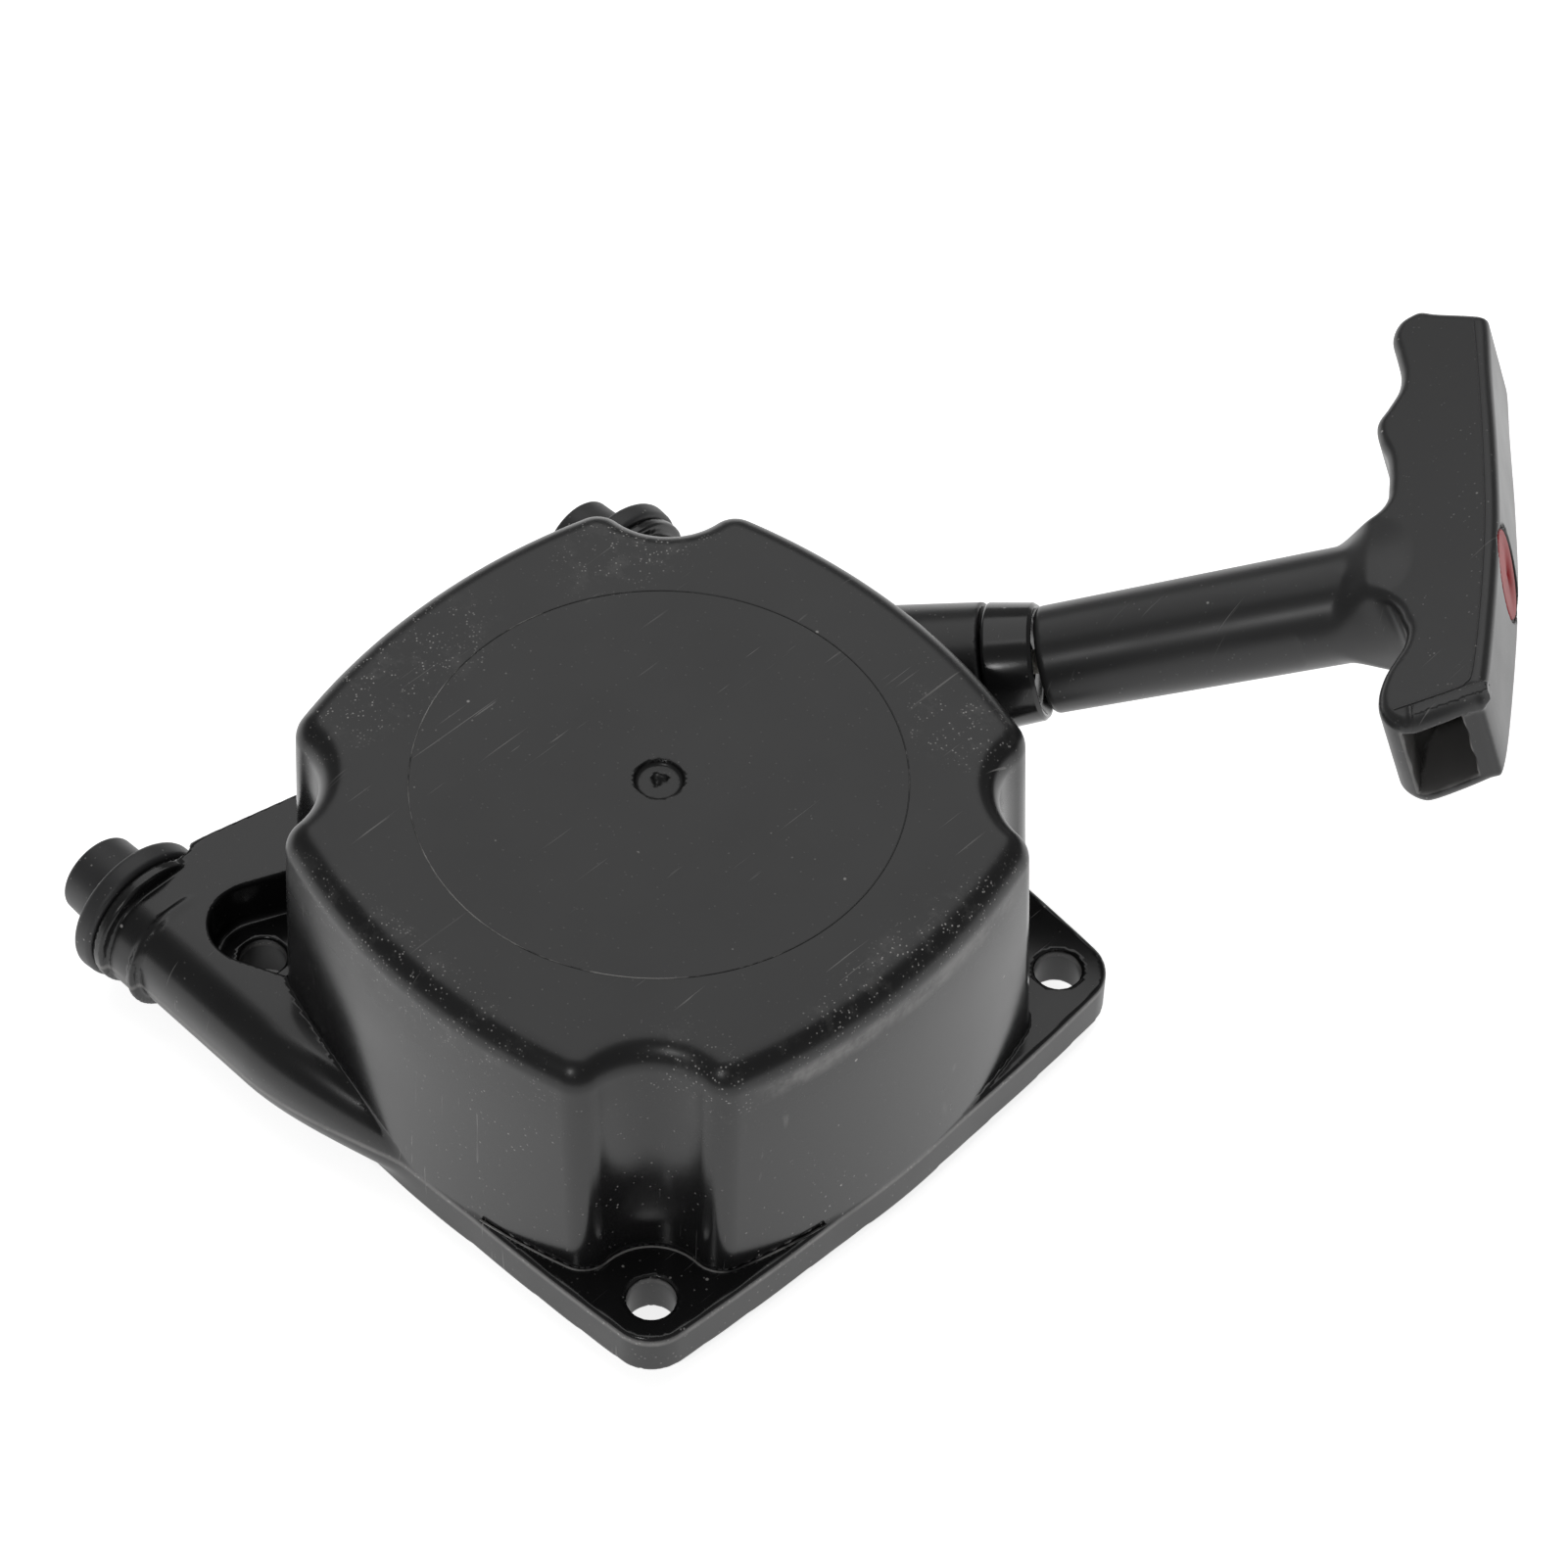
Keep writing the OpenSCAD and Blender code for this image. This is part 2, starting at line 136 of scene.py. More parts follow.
def dome_plan(x, y, half, notch):
    """Bowed square with a round notch at each bolt and a rounded hump beside it."""
    ax, ay = np.abs(x), np.abs(y)
    u, v = np.maximum(ax, ay), np.minimum(ax, ay)
    cx = half - DOME_SIDE_R
    side = np.hypot(u - cx, v) - DOME_SIDE_R
    bite = notch - np.hypot(u - BOLT, v - BOLT)
    # the hump's circle touches the side's from inside and the notch's from outside
    ex, ey = BOLT - cx, BOLT
    gap = np.hypot(ex, ey)
    ex, ey = ex / gap, ey / gap
    ra, rb = DOME_SIDE_R - HUMP_R, notch + HUMP_R
    run = (ra * ra - rb * rb + gap * gap) / (2 * gap)
    off = np.sqrt(ra * ra - run * run)
    hx, hy = cx + run * ex + off * ey, run * ey - off * ex
    # the hump rules between its two points of contact
    ax1, ay1 = (hx - cx) / ra, hy / ra
    ax2, ay2 = (BOLT - hx) / rb, (BOLT - hy) / rb
    px, py = u - hx, v - hy
    turn = ax1 * ay2 - ay1 * ax2
    on_side = (px * ay2 - py * ax2) / turn
    on_bite = (ax1 * py - ay1 * px) / turn
    inside = (on_side > 0) & (on_bite > 0)
    return np.where(inside, np.hypot(px, py) - HUMP_R, np.maximum(side, bite))


def flange_plan(x, y):
    """Slightly bowed square with round corners."""
    ax, ay = np.abs(x), np.abs(y)
    u, v = np.maximum(ax, ay), np.minimum(ax, ay)
    cx = FLANGE_MID - FLANGE_SIDE_R
    reach = FLANGE_SIDE_R - FLANGE_CORNER_R
    g = (cx + math.sqrt(2 * reach * reach - cx * cx)) / 2
    px, py = u - g, v - g
    beyond = ((g - cx) * py - g * px > 0) & (px + py > 0)
    side = np.hypot(u - cx, v) - FLANGE_SIDE_R
    return np.where(beyond, np.hypot(px, py) - FLANGE_CORNER_R, side)


def wing(x, y, z):
    """Both bracket wings: a plate whose outer edge is a bar that sinks into the dome wall."""
    ya = -np.abs(y)
    sink = ease((x + 27) / 41)
    yc = -PIN_Y + 5.0 * sink
    r = BRACKET_R - 3.4 * sink
    out, high = np.abs(np.minimum(ya - yc, 0)), np.abs(z - r)
    section = (out ** 2.4 + high ** 2.4 + 1e-9) ** (1 / 2.4) - r
    # the end's two edges and the slope's edge all pass the wing's tip
    tx, ty = x - WING_TIP[0], ya - WING_TIP[1]
    slant = tx * -0.970 + ty * 0.244
    tip = tx * -0.978 + ty * 0.2095
    body = cut_round(section, cut_round(slant, tip, 2), 0.9)
    body = np.maximum(body, x - 20)
    # the plate's top slopes down beside the collar
    over = tx * -0.996 + ty * -0.092
    body = cut_round(body, (z - 2 * BRACKET_R + 0.6 * np.maximum(over, -2)) / 1.17, 0.3)
    # room for the collar
    axis_r = np.hypot(ya + PIN_Y, z - BRACKET_R)
    collar_room = cut_round(axis_r - 11.7, x - COLLAR_IN - 0.1, 0.6)
    body = cut_round(body, -collar_room, 0.5)
    # pocket over the bolt hole
    px, py = x + BOLT, ya + BOLT
    wall_a = px * -POCKET_COS + py * POCKET_SIN - POCKET_R
    wall_b = px * POCKET_SIN + py * -POCKET_COS - POCKET_R
    arc = ((px * POCKET_SIN + py * POCKET_COS < 0)
           & (px * POCKET_COS + py * POCKET_SIN < 0))
    pocket = np.where(arc, np.hypot(px, py) - POCKET_R, np.maximum(wall_a, wall_b))
    pocket = cut_round(pocket, FLANGE_T - z, 1.2)
    return cut_round(body, -pocket, 0.7)


def pin_stub(x, y, z):
    """Shoulder, raised ring and stub under each cushion."""
    ya = -np.abs(y)
    axis_r = np.hypot(ya + PIN_Y, z - BRACKET_R)
    low_r = np.hypot(ya + PIN_Y, z - SHOULDER_Z)
    shoulder = cut_round(low_r - 9.0, np.maximum(COLLAR_IN + 0.1 - x, x + 50), 0.4)
    shoulder = cut_round(shoulder, z - 16.02, 1.5)
    ring = cut_round(low_r - 9.45, np.abs(x + 49.7) - 0.5, 0.4)
    ring = cut_round(ring, z - 16.35, 0.5)
    disc = cut_round(axis_r - 10.2, np.abs(x - COLLAR_IN - 1.1) - 0.95, 0.5)
    shoulder = join_round(shoulder, disc, 0.4)
    stub = cut_round(axis_r - 3.5, np.abs(x + 61) - 6.6, 0.3)
    return np.minimum(join_round(shoulder, ring, 0.5), stub)


def dome(x, y, z):
    t = np.clip((z - FLANGE_T) / DRAFT_H, 0, 1.1)
    plan = dome_plan(x, y, DOME_FOOT - DRAFT_IN * t, NOTCH_R + NOTCH_GROWTH * t)
    return cut_round(plan, z - TOP, TOP_EDGE_R)


def rope_boss(s, away):
    """Boss that widens towards the dome and ends at the bushing."""
    boss = away - (9.3 + np.clip(-7.3 - s, 0, 30) * 0.075)
    boss = cut_round(boss, s + 7.35, 0.5)
    return np.maximum(boss, -28 - s)


def chamber(rad, z):
    """Reel chamber, less the spring's wall and the centre post."""
    room = cut_round(rad - CHAMBER_R, z - CHAMBER_TOP, 1.0)
    spring_wall = cut_round(np.abs(rad - 34.3) - 1.1, 36.6 - z, 0.5)
    post = cut_round(rad - 8, 14 - z, 0.5)
    room = cut_round(room, -spring_wall, 0.8)
    return cut_round(room, -post, 1.0)


def moulding_gate(x, y, z, rad):
    """Shallow cup in the top with a broken nub in it."""
    cup = cut_round(rad - 3.4, TOP - 0.95 - z, 0.8)
    nub = np.sqrt((x + 0.5) ** 2 + (y - 0.4) ** 2 + (z - TOP + 1.5) ** 2) - 1.25
    nub = nub + 0.25 * np.sin(2.9 * x + 1.0) * np.sin(3.3 * y + 0.5)
    return cut_round(cup, -nub, 0.2)


def housing_field(x, y, z):
    """Flange, dome, bracket and boss as one moulding, then everything cut from it."""
    x, y, z = np.asarray(x), np.asarray(y), np.asarray(z)
    flange = cut_round(flange_plan(x, y), z - FLANGE_T, 0.7)
    body = join_round(join_soft(flange, wing(x, y, z), 1.0), dome(x, y, z), 0.4)
    s, away = along(x, y, z, OUTLET, OUTLET_DIR)
    body = join_round(body, rope_boss(s, away), 3.0)
    body = cut_round(body, -z, 0.4)
    body = join_round(body, pin_stub(x, y, z), 0.5)
    rad = np.hypot(x, y)
    body = cut_round(body, -chamber(rad, z), 0.5)
    post_bore = np.maximum(rad - 4, z - 30)
    body = cut_round(body, -post_bore, 0.4)
    rope_bore = np.maximum(away - 5, -40 - s)
    body = cut_round(body, -rope_bore, 0.5)
    hole = np.hypot(np.abs(x) - BOLT, np.abs(y) - BOLT) - HOLE_R
    body = cut_round(body, -hole, 0.45)
    return cut_round(body, -moulding_gate(x, y, z, rad), 0.25)


# ---------------------------------------------------------------- handle
# In the bar's frame: u along the bar, v away from the reel, w across.


def bar_axes():
    """Columns are the bar's axes: minus w, then u, then v."""
    a, e = math.radians(STEM_AZ), math.radians(STEM_EL)
    turn = Matrix.Rotation(a, 3, "Z") @ Matrix.Rotation(math.pi / 2 - e, 3, "Y")
    turn = turn @ Matrix.Rotation(math.radians(BAR_ROLL), 3, "Z")
    return np.array(turn @ Matrix.Rotation(math.radians(BAR_LEAN), 3, "X"))


BAR_M = bar_axes()
BAR_AT = OUTLET + BAR_FAR * STEM_DIR
# knots of the bar's outline: u, v
BAR_KNOTS = [
    (51.4, -3.4), (49.7, -5.9), (46.5, -6.9), (42.4, -6.2), (38, -5.5), (34.5, -5.8),
    (31, -7.3), (28, -8.7), (24.4, -8.3), (20.6, -7.1), (16.5, -6.7), (12.6, -6.7),
    (4, -6.6), (-6, -5.8), (-12.5, -4.4), (-15.5, -3.5), (-18.5, -3.8), (-21, -4.9), (-24, -6.3),
    (-28, -7.1), (-31.5, -6.6), (-34.0, -4.4), (-34.4, -1.8), (-31.8, 5.4), (-30.0, 7.5),
    (-14, 8.7), (3.4, 9.2), (20, 8.7), (36, 7.8), (46.5, 7.3),
    (48.1, 6.6), (49.0, 4.6), (50.5, -0.2), (51.3, -2.0),
]


def curve_span(p0, p1, p2, p3, per):
    """Catmull-Rom points from p1 up to p2, without p2."""
    out = []
    for j in range(per):
        t = j / per
        out.append(0.5 * (2 * p1 + (p2 - p0) * t + (2 * p0 - 5 * p1 + 4 * p2 - p3) * t * t
                          + (3 * p1 - p0 - 3 * p2 + p3) * t ** 3))
    return out


def smooth_loop(knots, per=8):
    """Closed curve through the knots."""
    k = np.array(knots)
    out = []
    for i in range(len(k)):
        out += curve_span(k[i - 1], k[i], k[(i + 1) % len(k)], k[(i + 2) % len(k)], per)
    return np.array(out)


def through(points, per=12):
    """Open curve through the points."""
    k = [2 * points[0] - points[1]] + list(points) + [2 * points[-1] - points[-2]]
    out = []
    for i in range(1, len(k) - 2):
        out += curve_span(*k[i - 1:i + 3], per)
    return out + [points[-1]]


def loop_distance(px, py, loop):
    """Signed distance to a closed polygon, negative inside."""
    best = np.full(px.shape, 1e9)
    inside = np.zeros(px.shape, bool)
    for a, b in zip(loop, np.roll(loop, -1, axis=0)):
        ex, ey = b - a
        wx, wy = px - a[0], py - a[1]
        t = np.clip((wx * ex + wy * ey) / (ex * ex + ey * ey + 1e-12), 0, 1)
        best = np.minimum(best, (wx - ex * t) ** 2 + (wy - ey * t) ** 2)
        flip = (a[1] > py) != (b[1] > py)
        with np.errstate(divide="ignore", invalid="ignore"):
            crossing = (b[0] - a[0]) * (py - a[1]) / (b[1] - a[1] + 1e-12) + a[0]
            inside ^= flip & (px < crossing)
    return np.where(inside, -1, 1) * np.sqrt(best)


class Plan:
    """A signed distance in the bar's u-v plane, sampled once and read back smoothly."""

    def __init__(self):
        self.u0, self.v0, self.step = -40.0, -22.0, 0.2
        self.nu, self.nv = 480, 180
        us = self.u0 + self.step * np.arange(self.nu)
        vs = self.v0 + self.step * np.arange(self.nv)
        gu, gv = np.meshgrid(us, vs, indexing="ij")
        bar = loop_distance(gu, gv, smooth_loop(BAR_KNOTS))
        neck = np.maximum(np.abs(gu - 0.2) - 7.3, gv)
        both = join_round(bar, neck, 5.5)
        both = np.where(gv > 0, bar, both)
        for _ in range(6):
            pad = np.pad(both, 1, mode="edge")
            both = (4 * both + pad[2:, 1:-1] + pad[:-2, 1:-1]
                    + pad[1:-1, 2:] + pad[1:-1, :-2]) / 8
        self.table = both

    def __call__(self, u, v):
        fu = np.clip((u - self.u0) / self.step, 1, self.nu - 3)
        fv = np.clip((v - self.v0) / self.step, 1, self.nv - 3)
        i, j = fu.astype(int), fv.astype(int)
        a, b = fu - i, fv - j
        t = self.table
        return ((t[i, j] * (1 - a) + t[i + 1, j] * a) * (1 - b)
                + (t[i, j + 1] * (1 - a) + t[i + 1, j + 1] * a) * b)


PLAN = Plan()


def bar_coordinates(x, y, z):
    dx, dy, dz = x - BAR_AT[0], y - BAR_AT[1], z - BAR_AT[2]
    w = -(dx * BAR_M[0, 0] + dy * BAR_M[1, 0] + dz * BAR_M[2, 0])
    u = dx * BAR_M[0, 1] + dy * BAR_M[1, 1] + dz * BAR_M[2, 1]
    v = dx * BAR_M[0, 2] + dy * BAR_M[1, 2] + dz * BAR_M[2, 2]
    return u, v, w


def grip_bar(u, v, w):
    """The bar, thinner where its neck runs down the stem."""
    thick = BAR_HALF - 6.5 * ease((-v - 8.5) / 8.0)
    bar = cut_round(PLAN(u, v), np.abs(w) - thick, 1.7)
    return np.maximum(bar, -v - 17)


def hollow_lip(u, v, w):
    """Raised lip over the mouth of the hollow."""
    lip_line = (u + 31.9) * 0.955 + (v - 1.5) * -0.30
    lip = np.maximum(np.abs(lip_line) - 0.5, np.abs(v - 3.2) - 4.6)
    return np.maximum(lip, np.abs(w - 7.6) - 0.75) - 0.4


def bar_hollow(u, v, w):
    """Slightly uneven hollow along the bar, open at one end."""
    floor = -3.9 + 1.9 * ease((u + 27) / 5)
    hollow = np.maximum(np.maximum(v - 4.2, floor - v), np.abs(w) - 5.7)
    hollow = hollow + 0.12 * np.sin(1.7 * v + 1.0) * np.sin(1.3 * w + 2.0)
    return np.maximum(hollow, u - 44)


def handle_field(x, y, z):
    """Stem and T bar, with the bar's hollow and the disc's recess."""
    x, y, z = np.asarray(x), np.asarray(y), np.asarray(z)
    s, away = along(x, y, z, OUTLET, STEM_DIR)
    u, v, w = bar_coordinates(x, y, z)
    stem = away - (7.75 + np.clip(s, 0, 50) * 0.011)
    stem = cut_round(stem, 0.55 - s, 1.1)
    stem = cut_round(stem, s - 53, 3.0)
    stem = cut_round(stem, np.abs(w) - 7.7 - 0.2 * np.clip(51 - s, 0, 20), 1.0)
    body = join_round(grip_bar(u, v, w), stem, 3.4)
    body = join_soft(body, hollow_lip(u, v, w), 1.4)
    body = cut_round(body, -bar_hollow(u, v, w), 0.5)
    rope_bore = np.maximum(away - 2.4, s - 56)
    body = cut_round(body, -rope_bore, 0.4)
    recess = np.maximum(np.hypot(u - BADGE_U, w) - 6.9, BADGE_FLOOR - v)
    return cut_round(body, -recess, 0.3)


# ---------------------------------------------------------------- meshing


def surface_nets(field, lo, hi, step):
    """Quads near the field's zero surface, one vertex in each cell that it crosses."""
    n = [int(math.ceil((hi[i] - lo[i]) / step)) + 1 for i in range(3)]
    ax = [lo[i] + step * np.arange(n[i]) for i in range(3)]
    v = np.empty(n, np.float32)
    # a few layers at a time, to keep memory low
    for k in range(0, n[2], 6):
        layer = slice(k, k + 6)
        v[:, :, layer] = field(ax[0][:, None, None], ax[1][None, :, None],
                               ax[2][None, None, layer])
    low = v < 0
    corner = [(i, j, k) for i in (0, 1) for j in (0, 1) for k in (0, 1)]
    count = np.zeros([m - 1 for m in n], np.int8)
    for i, j, k in corner:
        count += low[i:n[0] - 1 + i, j:n[1] - 1 + j, k:n[2] - 1 + k]
    mixed = (count > 0) & (count < 8)
    cell = np.argwhere(mixed)
    number = np.full(mixed.shape, -1, np.int64)
    number[mixed] = np.arange(len(cell))
    value = np.stack([v[cell[:, 0] + i, cell[:, 1] + j, cell[:, 2] + k]
                      for i, j, k in corner])
    total = np.zeros((len(cell), 3))
    hits = np.zeros(len(cell))
    for a in range(8):
        for b in range(a + 1, 8):
            da = np.array(corner[b]) - np.array(corner[a])
            if np.abs(da).sum() != 1:
                continue
            cross = (value[a] < 0) != (value[b] < 0)
            t = np.where(cross, value[a] / np.where(cross, value[a] - value[b], 1), 0)
            total += cross[:, None] * (np.array(corner[a]) + t[:, None] * da)
            hits += cross
    verts = np.array(lo) + step * (cell + total / hits[:, None])
    faces = []
    for d in range(3):
        e, f = (d + 1) % 3, (d + 2) % 3
        near = [slice(1, m - 1) for m in n]
        far = [slice(1, m - 1) for m in n]
        near[d], far[d] = slice(0, n[d] - 1), slice(1, n[d])
        a, b = low[tuple(near)], low[tuple(far)]
        at = np.argwhere(a != b)
        base = at.copy()
        base[:, e] += 1
        base[:, f] += 1
        out = a[tuple(at.T)]

        def cells(de, df):
            c = base.copy()
            c[:, e] += de
            c[:, f] += df
            return number[tuple(c.T)]

        quad = np.stack([cells(-1, -1), cells(0, -1), cells(0, 0), cells(-1, 0)], 1)
        quad[~out] = quad[~out][:, ::-1]
        faces.append(quad)
    return verts, np.concatenate(faces)


def slope(field, p, e=0.03):
    """Gradient of the field at each point, by differences."""
    g = np.empty_like(p)
    for i in range(3):
        q = p.copy()
        q[:, i] += e
        up = field(*q.T)
        q[:, i] -= 2 * e
        g[:, i] = (up - field(*q.T)) / (2 * e)
    return g


def settle(field, p, step):
    """Moves points onto the zero surface and returns them with its normals."""
    for _ in range(3):
        g = slope(field, p)
        size = np.maximum((g * g).sum(1), 0.05)
        move = -(field(*p.T) / size)[:, None] * g
        length = np.linalg.norm(move, axis=1, keepdims=True)
        p = p + move * np.minimum(1, 0.6 * step / np.maximum(length, 1e-9))
    g = slope(field, p)
    return p, g / np.maximum(np.linalg.norm(g, axis=1, keepdims=True), 1e-9)


def mesh_object(name, verts, faces, normals=None):
    """Smooth mesh object from points in mm and faces of one size."""
    mesh = bpy.data.meshes.new(name)
    mesh.vertices.add(len(verts))
    mesh.vertices.foreach_set("co", (np.asarray(verts) * MM).astype(np.float32).ravel())
    faces = np.asarray(faces, np.int32)
    mesh.loops.add(faces.size)
    mesh.loops.foreach_set("vertex_index", faces.ravel())
    mesh.polygons.add(len(faces))
    size = faces.shape[1]
    mesh.polygons.foreach_set("loop_start", np.arange(0, faces.size, size, dtype=np.int32))
    mesh.polygons.foreach_set("loop_total", np.full(len(faces), size, np.int32))
    mesh.update(calc_edges=True)
    mesh.validate()
    mesh.polygons.foreach_set("use_smooth", np.ones(len(mesh.polygons), bool))
    if normals is not None:
        mesh.normals_split_custom_set_from_vertices([tuple(n) for n in normals])
    obj = bpy.data.objects.new(name, mesh)
    bpy.context.scene.collection.objects.link(obj)
    return obj


def field_object(name, field, lo, hi, step):
    verts, faces = surface_nets(field, lo, hi, step)
    verts, normals = settle(field, verts, step)
    return mesh_object(name, verts, faces, normals)


def lathe(name, profile, origin, axis, segments=128):
    """Closed profile of (along, radius) turned round an axis."""
    axis = np.array(axis, float) / np.linalg.norm(axis)
    side = np.cross(axis, [0, 0, 1.0])
    side /= np.linalg.norm(side)
    third = np.cross(axis, side)
    verts, faces = [], []
    m = len(profile)
    for i in range(segments):
        a = 2 * math.pi * i / segments
        spoke = math.cos(a) * side + math.sin(a) * third
        verts += [np.array(origin) + axis * h + spoke * r for h, r in profile]
    for i in range(segments):
        for j in range(m):
            faces.append((i * m + j, i * m + (j + 1) % m,
                          (i + 1) % segments * m + (j + 1) % m, (i + 1) % segments * m + j))
    return mesh_object(name, verts, faces)


def rounded(points, radius, steps=5):
    """Closed outline with each corner rounded; radius is one number or one for each point."""
    p = np.array(points, float)
    n = len(p)
    radii = [radius] * n if np.isscalar(radius) else radius
    out = []
    for i in range(n):
        a, b, c = p[i - 1], p[i], p[(i + 1) % n]
        u, v = (a - b) / np.linalg.norm(a - b), (c - b) / np.linalg.norm(c - b)
        half = math.acos(max(-1, min(1, float(u @ v)))) / 2
        if radii[i] <= 0 or half > 1.5:
            out.append(tuple(b))
            continue
        back = radii[i] / math.tan(half)
        centre = b + (u + v) / np.linalg.norm(u + v) * radii[i] / math.sin(half)
        s, e = b + u * back - centre, b + v * back - centre
        a0, a1 = math.atan2(s[1], s[0]), math.atan2(e[1], e[0])
        a1 = a0 + (a1 - a0 + math.pi) % (2 * math.pi) - math.pi
        for k in range(steps + 1):
            t = a0 + (a1 - a0) * k / steps
            out.append(tuple(centre + radii[i] * np.array([math.cos(t), math.sin(t)])))
    return out


def tube(name, path, radius, sides=16):
    """Round tube along a path, closed at both ends."""
    path = np.array(path, float)
    verts, faces = [], []
    for i, p in enumerate(path):
        t = path[min(i + 1, len(path) - 1)] - path[max(i - 1, 0)]
        t /= np.linalg.norm(t)
        u = np.cross(t, [0, 0, 1.0])
        u /= np.linalg.norm(u)
        v = np.cross(t, u)
        for k in range(sides):
            a = 2 * math.pi * k / sides
            verts.append(p + radius * (math.cos(a) * u + math.sin(a) * v))
    for i in range(len(path) - 1):
        for k in range(sides):
            faces.append((i * sides + k, i * sides + (k + 1) % sides,
                          (i + 1) * sides + (k + 1) % sides, (i + 1) * sides + k))
    return mesh_object(name, verts, faces)


# ---------------------------------------------------------------- materials

BLACK = (0.009, 0.009, 0.0093)
PALE_DUST_AND_PAINTED_LIGHT = (0.42, 0.41, 0.40, 1)


class Nodes:
    """Short hand for building a node tree; places in it are in metres."""

    def __init__(self, name):
        self.mat = bpy.data.materials.new(name)
        self.mat.use_nodes = True
        self.tree = self.mat.node_tree
        self.tree.nodes.clear()
        self.out = self.add("ShaderNodeOutputMaterial")
        self.bsdf = self.add("ShaderNodeBsdfPrincipled")
        self.link(self.bsdf.outputs[0], self.out.inputs[0])
        self.coord = self.add("ShaderNodeTexCoord").outputs["Object"]

    def add(self, kind, **values):
        node = self.tree.nodes.new(kind)
        for k, v in values.items():
            setattr(node, k, v)
        return node

    def link(self, a, b):
        self.tree.links.new(a, b)

    def put(self, socket, value):
        if hasattr(value, "is_linked"):
            self.link(value, socket)
        else:
            socket.default_value = value

    def noise(self, scale, detail=4.0, rough=0.55, vector=None, distort=0.0):
        node = self.add("ShaderNodeTexNoise")
        self.put(node.inputs["Vector"], vector or self.coord)
        node.inputs["Scale"].default_value = scale
        node.inputs["Detail"].default_value = detail
        node.inputs["Roughness"].default_value = rough
        node.inputs["Distortion"].default_value = distort
        return node.outputs["Fac"]

    def stretch(self, scale, turn=(0, 0, 0)):
        node = self.add("ShaderNodeMapping")
        self.link(self.coord, node.inputs["Vector"])
        node.inputs["Scale"].default_value = scale
        node.inputs["Rotation"].default_value = turn
        return node.outputs[0]

    def dots(self, scale, size):
        """1 in small dots, 0 elsewhere; size is the dot's share of its cell."""
        node = self.add("ShaderNodeTexVoronoi")
        self.put(node.inputs["Vector"], self.coord)
        node.inputs["Scale"].default_value = scale
        return self.band(node.outputs["Distance"], size, size * 0.6)

    def band(self, value, low, high, to_low=0.0, to_high=1.0):
        node = self.add("ShaderNodeMapRange", clamp=True)
        self.put(node.inputs["Value"], value)
        node.inputs["From Min"].default_value = low
        node.inputs["From Max"].default_value = high
        node.inputs["To Min"].default_value = to_low
        node.inputs["To Max"].default_value = to_high
        return node.outputs["Result"]

    def maths(self, op, a, b=0.0, clamp=False):
        node = self.add("ShaderNodeMath", operation=op, use_clamp=clamp)
        self.put(node.inputs[0], a)
        self.put(node.inputs[1], b)
        return node.outputs[0]

    def mix(self, fac, a, b):
        node = self.add("ShaderNodeMix", data_type="RGBA")
        self.put(node.inputs[0], fac)
        self.put(node.inputs[6], a)
        self.put(node.inputs[7], b)
        return node.outputs[2]

    def bump(self, height, distance, strength=1.0, normal=None):
        node = self.add("ShaderNodeBump")
        node.inputs["Strength"].default_value = strength
        node.inputs["Distance"].default_value = distance
        self.put(node.inputs["Height"], height)
        if normal is not None:
            self.put(node.inputs["Normal"], normal)
        return node.outputs[0]

    def xyz(self):
        node = self.add("ShaderNodeSeparateXYZ")
        self.link(self.coord, node.inputs[0])
        return node.outputs

    def set(self, **values):
        names = {"color": "Base Color", "rough": "Roughness", "metal": "Metallic",
                 "normal": "Normal", "ior": "IOR", "sheen": "Sheen Weight",
                 "specular": "Specular IOR Level"}
        for k, v in values.items():
            self.put(self.bsdf.inputs[names[k]], v)
        return self.mat


def times(color, factor):
    return tuple(c * factor for c in color) + (1,)


